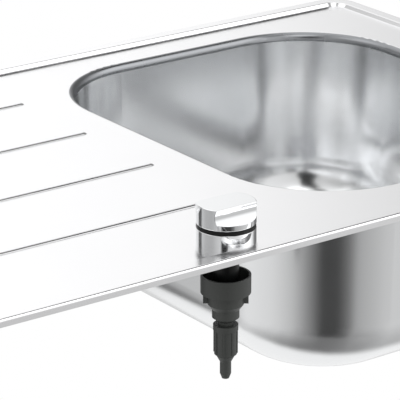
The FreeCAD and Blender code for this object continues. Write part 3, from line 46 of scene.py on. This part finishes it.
def linear(code: str) -> Colour:
    """Turn a colour written in sRGB into the linear values that shaders use.

    Args:
        code: six hex digits.

    Returns:
        Linear red, green, blue, and an alpha of one.
    """
    steps = (int(code[place:place + 2], 16) / 255 for place in (0, 2, 4))
    red, green, blue = (s / 12.92 if s <= 0.04045 else ((s + 0.055) / 1.055) ** 2.4 for s in steps)
    return red, green, blue, 1.0


def grey(level: float) -> Colour:
    """A neutral linear colour of the given brightness."""
    return level, level, level, 1.0


def add_node(
    tree: bpy.types.NodeTree, kind: str, inputs: dict[str | int, Any] | None = None, **settings: Any
) -> bpy.types.Node:
    """Add a shader node.

    Args:
        tree: the tree that it goes into.
        kind: its type without the leading ShaderNode.
        inputs: for each input, a plain value or the output socket that feeds it.
        settings: attributes of the node itself.

    Returns:
        The new node.
    """
    node = tree.nodes.new("ShaderNode" + kind)
    for name, setting in settings.items():
        setattr(node, name, setting)
    for name, source in (inputs or {}).items():
        if isinstance(source, bpy.types.NodeSocket):
            tree.links.new(source, node.inputs[name])
        else:
            node.inputs[name].default_value = source
    return node


class Grain(Enum):
    """Which way a surface was worked, as how far its marks run along X, Y and Z."""

    ALONG_WORKTOP = (60.0, 1.0, 1.0)
    UPRIGHT = (1.0, 1.0, 25.0)
    ROUND = (1.0, 1.0, 1.0)


@dataclass(frozen=True)
class Finish:
    """What every finish has: a colour, a roughness, and fine relief of the size in relief_mm."""

    name: str
    colour: str
    roughness: float
    relief_mm: float
    relief: float
    grain: Grain = Grain.ROUND
    relief_detail: float = 3.0

    def material(self) -> bpy.types.Material:
        """The material, made once and then shared.

        Returns:
            The material of this finish's name.
        """
        known = bpy.data.materials.get(self.name)
        if known:
            return known
        made = bpy.data.materials.new(self.name)
        made.use_nodes = True
        tree = made.node_tree
        shader = tree.nodes["Principled BSDF"]
        shader.inputs["Base Color"].default_value = linear(self.colour)
        shader.inputs["Roughness"].default_value = self.roughness
        self.work_surface(tree, shader)
        return made

    def work_surface(self, tree: bpy.types.NodeTree, shader: bpy.types.Node) -> None:
        """Raise the relief, in cells as long as the marks run; each kind of finish adds its own effects.

        Args:
            tree: the material's nodes.
            shader: the node that shades the surface.
        """
        place = add_node(tree, "TexCoord").outputs["Object"]
        stretch = [1 / run for run in self.grain.value]
        squeezed = add_node(tree, "Mapping", {"Vector": place, "Scale": stretch}).outputs[0]
        cell = self.relief_mm * MM
        noise = add_node(
            tree, "TexNoise", {"Vector": squeezed, "Scale": 1 / cell, "Detail": self.relief_detail}
        ).outputs[0]
        bump = add_node(tree, "Bump", {"Height": noise, "Strength": self.relief, "Distance": cell})
        tree.links.new(bump.outputs[0], shader.inputs["Normal"])


@dataclass(frozen=True)
class Metal(Finish):
    """Bare or plated metal: mirror-like under fine working marks, which blur it unevenly.

    Real marks are hundredths of a millimetre wide; they are drawn about ten times as coarse, to show.
    """

    roughness_spread: float = 0.05
    cloud_mm: float = 60.0
    cloud_detail: float = 2.0

    def work_surface(self, tree: bpy.types.NodeTree, shader: bpy.types.Node) -> None:
        """Add broad soft clouds in the roughness, from handling and polishing.

        Args:
            tree: the material's nodes.
            shader: the node that shades the surface.
        """
        super().work_surface(tree, shader)
        shader.inputs["Metallic"].default_value = 1.0
        place = add_node(tree, "TexCoord").outputs["Object"]
        cell = self.cloud_mm * MM
        cloud = add_node(tree, "TexNoise", {"Vector": place, "Scale": 1 / cell, "Detail": self.cloud_detail})
        low, high = self.roughness - self.roughness_spread, self.roughness + self.roughness_spread
        spread = add_node(tree, "MapRange", {"Value": cloud.outputs[0], "To Min": low, "To Max": high})
        tree.links.new(spread.outputs[0], shader.inputs["Roughness"])


@dataclass(frozen=True)
class Polymer(Finish):
    """Plastic, rubber, foam or bitumen: its own colour under a clear skin.

    The grain of a smooth moulding is drawn a few times as coarse as the real one, to show; the foam's pores
    and the bitumen's stipple have their real size.
    """

    refraction: float = 1.5

    def work_surface(self, tree: bpy.types.NodeTree, shader: bpy.types.Node) -> None:
        """Add how strongly the skin bends light.

        Args:
            tree: the material's nodes.
            shader: the node that shades the surface.
        """
        super().work_surface(tree, shader)
        shader.inputs["IOR"].default_value = self.refraction


# Cold-rolled 18/10 stainless sheet with a satin finish: soft reflections, finest along the rolling direction.
SATIN_SHEET = Metal("satin_stainless_sheet", "F6F6F7", 0.19, 0.35, 0.02, Grain.ALONG_WORKTOP)
# The same sheet deep-drawn: the marks run down the walls, and the reflections with them.
DRAWN_SHEET = Metal("drawn_stainless_sheet", "EFF0F1", 0.19, 0.5, 0.02, Grain.UPRIGHT)
# The rolled edge of the bowl's mouth: duller than the sheet round it, and darker as painted shade, standing
# in for the dark reflection that the roll shows.
EDGE_PAINTED_SHADE = Metal("stainless_edge_painted_shade", "9EA0A3", 0.28, 0.3, 0.02)
# Stainless pressings polished after forming: bright, with crisp reflections.
POLISHED_PRESSING = Metal("polished_stainless_pressing", "EDEEF0", 0.12, 0.3, 0.01)
# Bright chrome plate over a die casting: an almost perfect mirror.
CHROME_PLATE = Metal("chrome_plated_casting", "F0F1F2", 0.05, 0.6, 0.004, roughness_spread=0.01)
# Turned or stamped mild steel with thin zinc: a grey, blurred shine.
ZINC_STEEL = Metal("zinc_plated_steel", "C9CBCD", 0.32, 0.4, 0.03)
# Glass-filled nylon from a spark-eroded mould: nearly black, dull sheen.
BLACK_NYLON = Polymer("moulded_black_nylon", "383A38", 0.48, 0.5, 0.08)
# Pale grey polypropylene, moulded: waxy, faintly grained.
GREY_POLYPROPYLENE = Polymer("moulded_grey_polypropylene", "D6D8D8", 0.42, 0.6, 0.05)
# Turned acetal, dyed through: deep black, with a softer gloss than its usual index of 1.48 would give.
BLACK_ACETAL = Polymer("turned_black_acetal", "0A0B0B", 0.34, 0.3, 0.02, refraction=1.36)
# Nitrile rubber, moulded: matt black.
BLACK_RUBBER = Polymer("moulded_nitrile_rubber", "26282A", 0.62, 0.4, 0.06)
# Closed-cell foam strip, cut: rough, with open pores.
SPONGE_STRIP = Polymer("closed_cell_foam", "4A4B4E", 0.85, 1.2, 0.35)
# Filled bitumen sheet, rolled: dull, with a stippled face.
BITUMEN_SHEET = Polymer("filled_bitumen_sheet", "3A3A3B", 0.8, 2.2, 0.4)


@dataclass
class SubAssembly:
    """Pieces that are fitted together, each with the finish that its material calls for."""

    def finishes(self) -> dict[str, Finish]:
        """What each piece is finished in.

        Returns:
            A finish for each node name.
        """
        raise NotImplementedError

    def build(self) -> None:
        """Dress every piece and log it."""
        for node, finish in self.finishes().items():
            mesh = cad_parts[node].data
            mesh.materials.clear()
            mesh.materials.append(finish.material())
            LOG.info("%s: %s in %s", type(self).__name__, node, finish.name)


@dataclass
class SinkShell(SubAssembly):
    """Pressed drainer and bowl with what is stuck or welded beneath them."""

    sheet: Finish = SATIN_SHEET
    drawn: Finish = DRAWN_SHEET
    # The mouth's edge takes a darker colour: painted shade for the dark reflection of its roll.
    edge: Finish = EDGE_PAINTED_SHADE
    # The rolled edge lies within this distance of the bowl's box, and below the drainer's flat top.
    roll_reach_mm: float = 10.0
    roll_top_mm: float = 2.9

    def finishes(self) -> dict[str, Finish]:
        """What each piece is finished in.

        Returns:
            A finish for each node name.
        """
        return {
            "sink_deck": self.sheet,
            "bowl": self.drawn,
            "rim_seal": SPONGE_STRIP,
            "clip_rails": ZINC_STEEL,
            "sound_pad": BITUMEN_SHEET,
        }

    def build(self) -> None:
        """Dress every piece, then give the rolled edge of the bowl's mouth its darker colour, painted shade
        for the dark reflection there.
        """
        super().build()
        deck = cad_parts["sink_deck"]
        deck.data.materials.append(self.edge.material())
        painted_shade_slot = len(deck.data.materials) - 1
        # Painted shade: the roll's upper faces get the darker edge colour.
        for face in self.rolled_faces(deck):
            face.material_index = painted_shade_slot
        LOG.info("SinkShell: the mouth's edge in %s", self.edge.name)

    def rolled_faces(self, deck: bpy.types.Object) -> list[bpy.types.MeshPolygon]:
        """Find the upper side of the rolled edge.

        Args:
            deck: the drainer, which the edge is part of.

        Returns:
            The faces there.
        """
        low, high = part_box("bowl")
        reach, top = self.roll_reach_mm * MM, self.roll_top_mm * MM
        found = []
        for face in deck.data.polygons:
            centre = deck.matrix_world @ face.center
            upward = (deck.matrix_world.to_3x3() @ face.normal).z
            across, along = (low[i] - reach < centre[i] < high[i] + reach for i in (0, 1))
            if across and along and upward > 0 and centre.z < top:
                found.append(face)
        return found


@dataclass
class ControlKnob(SubAssembly):
    """Turning knob on the worktop, its seal, and the spindle under it."""

    plating: Finish = CHROME_PLATE
    ring: Finish = BLACK_ACETAL
    seal: Finish = BLACK_RUBBER
    spindle: Finish = ZINC_STEEL

    def finishes(self) -> dict[str, Finish]:
        """What each piece is finished in.

        Returns:
            A finish for each node name.
        """
        return {
            "knob_base": self.plating,
            "knob_cap": self.plating,
            "knob_slip_ring": self.ring,
            "knob_base_seal": self.seal,
            "drive_spindle": self.spindle,
            "spindle_circlip": self.spindle,
        }


@dataclass
class Actuator(SubAssembly):
    """Moulded body below the worktop that turns the knob's turn into a pull."""

    moulding: Finish = BLACK_NYLON
    shank: Finish = BLACK_ACETAL
    washer: Finish = ZINC_STEEL

    def finishes(self) -> dict[str, Finish]:
        """What each piece is finished in.

        Returns:
            A finish for each node name.
        """
        moulded = ("coupling_cup", "actuator_body", "cable_sleeve", "sleeve_tip", "pull_slider", "fixing_nut")
        mounting = {"threaded_shank": self.shank, "shank_washer": self.washer}
        return dict.fromkeys(moulded, self.moulding) | mounting


@dataclass
class Waste(SubAssembly):
    """Strainer waste through the bowl's floor, with its chamber, seals and screws."""

    pressing: Finish = POLISHED_PRESSING
    chamber: Finish = GREY_POLYPROPYLENE
    seal: Finish = BLACK_RUBBER

    def finishes(self) -> dict[str, Finish]:
        """What each piece is finished in.

        Returns:
            A finish for each node name.
        """
        pressed = ("strainer_cup", "flange_screws", "strainer_basket", "basket_post", "basket_grip")
        seals = ("flange_seal", "body_seal", "gland_ring", "basket_seal")
        dressed = dict.fromkeys(pressed, self.pressing) | dict.fromkeys(seals, self.seal)
        return dressed | {"waste_body": self.chamber, "pin_guide": self.chamber}


@dataclass
class PopUpLift(SubAssembly):
    """Steel lever, axle and pin that raise the basket."""

    steel: Finish = ZINC_STEEL

    def finishes(self) -> dict[str, Finish]:
        """What each piece is finished in.

        Returns:
            A finish for each node name.
        """
        return dict.fromkeys(("lift_lever", "lever_axle", "lift_pin", "cable_arm"), self.steel)


@dataclass
class Overflow(SubAssembly):
    """Overflow outlet in the bowl's wall and the pipe that joins it to the waste."""

    pipework: Finish = GREY_POLYPROPYLENE
    pressing: Finish = POLISHED_PRESSING
    gasket: Finish = BLACK_RUBBER

    def finishes(self) -> dict[str, Finish]:
        """What each piece is finished in.

        Returns:
            A finish for each node name.
        """
        piped = dict.fromkeys(("overflow_head", "overflow_pipe", "pipe_collars"), self.pipework)
        pressed = dict.fromkeys(("overflow_plate", "overflow_screw"), self.pressing)
        return piped | pressed | {"overflow_gasket": self.gasket}


@dataclass
class PhotoCamera:
    """The camera where the photograph was taken from: heading clockwise from +Y, pitch below the horizon."""

    place_m: Place = (-1.1407, -1.6850, 0.705)
    heading_degrees: float = 35.978
    pitch_degrees: float = 20.063
    focal_length_pixels: float = 2664.17
    image_side_pixels: float = 400
    sensor_mm: float = 36

    def build(self) -> None:
        """Make the camera and look through it."""
        camera = bpy.data.cameras.new("photo_camera")
        camera.sensor_width = self.sensor_mm
        camera.lens = self.focal_length_pixels * self.sensor_mm / self.image_side_pixels
        holder = bpy.data.objects.new("photo_camera", camera)
        holder.location = self.place_m
        tilt, turn = math.radians(90 - self.pitch_degrees), math.radians(-self.heading_degrees)
        holder.rotation_euler = (tilt, 0, turn)
        bpy.context.scene.collection.objects.link(holder)
        bpy.context.scene.camera = holder
        LOG.info("PhotoCamera: %s", holder.name)


# What the steel mirrors, in rings: compass bearings in degrees clockwise from +Y, and the brightness at each.
# The floor in the sink's own shade, darkest towards the camera.
SHADED_FLOOR: Stops = (
    (-180, 0.19), (-160, 0.09), (-142, 0.05), (-115, 0.07), (-98, 0.11), (-76, 0.22), (-35, 0.50),
    (0, 0.60), (90, 0.40), (140, 0.38), (160, 0.25), (180, 0.19),
)
# Below the worktop: dark at the camera and straight behind the sink, pale on both sides.
LOW_SCREENS: Stops = (
    (-180, 0.42), (-172, 0.18), (-160, 0.055), (-142, 0.05), (-128, 0.27), (-112, 0.56), (-90, 0.76),
    (-56, 0.86), (-45, 0.72), (-32, 0.55), (-25, 0.10), (4, 0.10), (12, 0.70), (95, 0.76), (118, 0.84),
    (137, 0.66), (160, 0.52), (180, 0.42),
)
# From the worktop up: bright, with a narrow dark screen to the right behind the sink.
HIGH_SCREENS: Stops = (
    (-180, 0.85), (-160, 0.78), (-130, 0.80), (-112, 0.64), (-90, 0.48), (-62, 0.48), (-40, 0.64),
    (-15, 0.82), (10, 0.98), (28, 1.14), (36, 1.04), (43, 0.66), (50, 0.30), (60, 0.16), (84, 0.24),
    (100, 1.0), (145, 1.15), (165, 0.92), (180, 0.85),
)
# Overhead: nearly even.
CEILING: Stops = (
    (-180, 0.90), (-150, 0.95), (-120, 0.95), (-80, 0.97), (-20, 0.92), (20, 1.0), (60, 1.2), (100, 1.12),
    (150, 1.0), (180, 0.90),
)


def bearing_share(
    tree: bpy.types.NodeTree, east: bpy.types.NodeSocket, north: bpy.types.NodeSocket
) -> bpy.types.NodeSocket:
    """Bearing of a direction as a share of a full turn from -180 degrees.

    Args:
        tree: the nodes that it goes into.
        east: the direction's X.
        north: the direction's Y.

    Returns:
        The share, from 0 to 1.
    """
    bearing = add_node(tree, "Math", {0: east, 1: north}, operation="ARCTAN2").outputs[0]
    full_turn = {"Value": bearing, "From Min": -math.pi, "From Max": math.pi}
    return add_node(tree, "MapRange", full_turn).outputs[0]


def ring_brightness(
    tree: bpy.types.NodeTree, share: bpy.types.NodeSocket, ring: Stops
) -> bpy.types.NodeSocket:
    """How bright a ring of screens is at a bearing.

    Args:
        tree: the nodes that it goes into.
        share: the bearing as a share of a full turn from -180 degrees.
        ring: bearings with their brightness.

    Returns:
        The brightness as a colour.
    """
    made = add_node(tree, "ValToRGB", {0: share})
    elements = made.color_ramp.elements
    while len(elements) < len(ring):
        elements.new(1.0)
    for element, (bearing, level) in zip(elements, ring):
        element.position = (bearing + 180) / 360
        element.color = grey(level)
    return made.outputs[0]


@dataclass(frozen=True)
class Card:
    """A round card far away: its bearing, height, half width and soft edge in degrees, and its brightness."""

    bearing: float
    height: float
    half_width: float
    softness: float
    brightness: float

    def hang(
        self, tree: bpy.types.NodeTree, way: bpy.types.NodeSocket, around: bpy.types.NodeSocket
    ) -> bpy.types.NodeSocket:
        """Put the card into the surroundings.

        Args:
            tree: the world's nodes.
            way: the direction looked in.
            around: the surroundings so far.

        Returns:
            The surroundings with the card.
        """
        bearing, height = math.radians(self.bearing), math.radians(self.height)
        level = math.cos(height)
        centre = (math.sin(bearing) * level, math.cos(bearing) * level, math.sin(height))
        facing = add_node(tree, "VectorMath", {0: way, 1: centre}, operation="DOT_PRODUCT").outputs["Value"]
        edge = math.cos(math.radians(self.half_width + self.softness))
        inside = math.cos(math.radians(self.half_width))
        share = add_node(tree, "MapRange", {"Value": facing, "From Min": edge, "From Max": inside}).outputs[0]
        seen = add_node(
            tree, "Mix",
            {"Factor": share, FIRST_COLOUR: around, SECOND_COLOUR: grey(self.brightness)}, data_type="RGBA",
        )
        return seen.outputs[MIXED_COLOUR]


# Dark cards draw the lines of the steps and ribs and the streaks in the bowl; bright ones light its walls.
CARDS = (
    Card(75, 54, 11, 5, 0.0),
    Card(163, 68, 13, 6, 0.22),
    Card(-112, 61, 7, 4, 0.03),
    Card(-138, 24, 10, 4, 0.0),
    Card(-137, 38, 6, 4, 0.0),
    Card(-133, 49, 7, 4, 0.0),
    Card(-66, 68, 9, 5, 0.20),
    Card(-152, 64, 10, 8, 1.8),
    Card(128, 38, 16, 8, 1.7),
    Card(-28, 21, 8, 5, 0.05),
)


@dataclass
class Room:
    """White for the camera and nearly white light; for reflections, screens and cards."""

    # The heights at which each ring of screens takes over from the one below.
    shade_degrees: Span = (-56, -31)
    horizon_degrees: Span = (-12, 2)
    overhead_degrees: Span = (36, 48)
    diffuse_level: float = 0.95

    def build(self) -> None:
        """Make the world round the sink."""
        world = bpy.data.worlds.new("white_room")
        bpy.context.scene.world = world
        world.use_nodes = True
        tree = world.node_tree
        way = add_node(tree, "TexCoord").outputs["Generated"]
        around = self.screens(tree, way)
        for card in CARDS:
            around = card.hang(tree, way, around)
        path = add_node(tree, "LightPath").outputs
        for ray, colour in (("Is Diffuse Ray", grey(self.diffuse_level)), ("Is Camera Ray", WHITE)):
            seen = add_node(
                tree, "Mix",
                {"Factor": path[ray], FIRST_COLOUR: around, SECOND_COLOUR: colour}, data_type="RGBA",
            )
            around = seen.outputs[MIXED_COLOUR]
        tree.links.new(around, tree.nodes["Background"].inputs["Color"])
        LOG.info("Room: %s with %d cards", world.name, len(CARDS))

    def screens(self, tree: bpy.types.NodeTree, way: bpy.types.NodeSocket) -> bpy.types.NodeSocket:
        """Stack the rings of screens from the floor up to the ceiling.

        Args:
            tree: the world's nodes.
            way: the direction looked in.

        Returns:
            How bright the screens are there.
        """
        parts = add_node(tree, "SeparateXYZ", {0: way}).outputs
        share = bearing_share(tree, parts["X"], parts["Y"])
        height = add_node(tree, "Math", {0: parts["Z"]}, operation="ARCSINE").outputs[0]
        around = ring_brightness(tree, share, SHADED_FLOOR)
        for ring, levels in (
            (LOW_SCREENS, self.shade_degrees),
            (HIGH_SCREENS, self.horizon_degrees),
            (CEILING, self.overhead_degrees),
        ):
            low, high = (math.radians(level) for level in levels)
            rise = add_node(tree, "MapRange", {"Value": height, "From Min": low, "From Max": high}).outputs[0]
            above = ring_brightness(tree, share, ring)
            seen = add_node(
                tree, "Mix", {"Factor": rise, FIRST_COLOUR: around, SECOND_COLOUR: above}, data_type="RGBA"
            )
            around = seen.outputs[MIXED_COLOUR]
        return around


@dataclass
class Floor:
    """Round pale floor as far below the worktop as a kitchen's, which looks white but keeps the shadow."""

    below_m: float = 0.87
    radius_m: float = 0.95
    sides: int = 96
    paint: str = "F4F4F4"
    roughness: float = 0.9
    # From where to where, out from below the bowl's middle, its shade gives way to the low screens.
    shade_m: Span = (0.5, 1.3)
    # A brightly lit patch: its middle, and from where to where it fades out.
    bright_middle_m: Span = (0.256, 0.405)
    bright_reach_m: Span = (0.60, 0.78)
    white_share: float = 0.85

    def build(self) -> None:
        """Lay the floor and paint it."""
        mesh = bpy.data.meshes.new("floor")
        shape = bmesh.new()
        bmesh.ops.create_circle(shape, cap_ends=True, segments=self.sides, radius=self.radius_m)
        shape.to_mesh(mesh)
        shape.free()
        floor = bpy.data.objects.new("floor", mesh)
        floor.location.z = -self.below_m
        bpy.context.scene.collection.objects.link(floor)
        mesh.materials.append(self.material())
        LOG.info("Floor: %s", floor.name)

    def material(self) -> bpy.types.Material:
        """Matt paint that takes the shadow, with white over it for the eye and shade for the steel.

        Returns:
            The floor's material.
        """
        made = bpy.data.materials.new("pale_floor")
        made.use_nodes = True
        tree = made.node_tree
        matt = tree.nodes["Principled BSDF"]
        matt.inputs["Base Color"].default_value = linear(self.paint)
        matt.inputs["Roughness"].default_value = self.roughness
        path = add_node(tree, "LightPath").outputs
        looks = {"Factor": path["Is Camera Ray"], FIRST_COLOUR: self.mirrored(tree), SECOND_COLOUR: WHITE}
        colour = add_node(tree, "Mix", looks, data_type="RGBA").outputs[MIXED_COLOUR]
        glow = add_node(tree, "Emission", {"Color": colour, "Strength": 1.0}).outputs[0]
        seen = path["Is Camera Ray"]
        for ray in ("Is Glossy Ray", "Is Transmission Ray"):
            seen = add_node(tree, "Math", {0: seen, 1: path[ray]}, operation="MAXIMUM").outputs[0]
        share = add_node(tree, "Math", {0: seen, 1: self.white_share}, operation="MULTIPLY").outputs[0]
        mixed = add_node(tree, "MixShader", {0: share, 1: matt.outputs[0], 2: glow}).outputs[0]
        tree.links.new(mixed, tree.nodes["Material Output"].inputs["Surface"])
        return made

    def mirrored(self, tree: bpy.types.NodeTree) -> bpy.types.NodeSocket:
        """What the steel mirrors of the floor: the sink's shade, and the bright patch over it.

        Args:
            tree: the material's nodes.

        Returns:
            The brightness as a colour.
        """
        low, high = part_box("bowl")
        bowl = ((low.x + high.x) / 2, (low.y + high.y) / 2, 0)
        place = add_node(tree, "TexCoord").outputs["Object"]
        way = add_node(tree, "VectorMath", {0: place, 1: bowl}, operation="SUBTRACT").outputs["Vector"]
        parts = add_node(tree, "SeparateXYZ", {0: way}).outputs
        share = bearing_share(tree, parts["X"], parts["Y"])
        away = add_node(tree, "VectorMath", {0: way}, operation="LENGTH").outputs["Value"]
        start, end = self.shade_m
        out = add_node(tree, "MapRange", {"Value": away, "From Min": start, "From Max": end}).outputs[0]
        near, far = (ring_brightness(tree, share, ring) for ring in (SHADED_FLOOR, LOW_SCREENS))
        shaded = add_node(
            tree, "Mix", {"Factor": out, FIRST_COLOUR: near, SECOND_COLOUR: far}, data_type="RGBA"
        ).outputs[MIXED_COLOUR]
        patch = (*self.bright_middle_m, 0)
        reach = add_node(tree, "VectorMath", {0: place, 1: patch}, operation="DISTANCE").outputs["Value"]
        start, end = self.bright_reach_m
        past = add_node(tree, "MapRange", {"Value": reach, "From Min": start, "From Max": end}).outputs[0]
        lit = add_node(
            tree, "Mix", {"Factor": past, FIRST_COLOUR: WHITE, SECOND_COLOUR: shaded}, data_type="RGBA"
        )
        return lit.outputs[MIXED_COLOUR]


@dataclass(frozen=True)
class Lamp:
    """A square soft lamp that points at the origin, with or without a reflection of itself."""

    name: str
    place_m: Place
    watts: float
    side_m: float
    mirrored: bool

    def build(self) -> None:
        """Hang the lamp."""
        light = bpy.data.lights.new(self.name, "AREA")
        light.shape = "SQUARE"
        light.size = self.side_m
        light.energy = self.watts
        lamp = bpy.data.objects.new(self.name, light)
        lamp.location = self.place_m
        lamp.rotation_euler = (-Vector(self.place_m)).to_track_quat("-Z", "Y").to_euler()
        lamp.visible_camera = False
        lamp.visible_glossy = self.mirrored
        bpy.context.scene.collection.objects.link(lamp)
        LOG.info("Lamp: %s", lamp.name)


@dataclass
class Studio:
    """Room, floor and lamps: a large key from the left and behind, and a fill from the camera's side."""

    key: Lamp = Lamp("key", (-1.2, 1.0, 2.2), 8.0, 2.2, True)
    fill: Lamp = Lamp("fill", (-1.6, -2.4, 1.8), 14.0, 1.8, False)

    def build(self) -> None:
        """Build the room, the floor and the lamps."""
        Room().build()
        Floor().build()
        self.key.build()
        self.fill.build()
        bpy.context.scene.view_settings.view_transform = "Standard"


def main() -> None:
    """Build the camera, the studio and every piece, in order."""
    logging.basicConfig(level=logging.INFO, format="%(message)s")
    PhotoCamera().build()
    Studio().build()
    for assembly in (SinkShell(), ControlKnob(), Actuator(), Waste(), PopUpLift(), Overflow()):
        assembly.build()


if __name__ == "__main__":
    main()
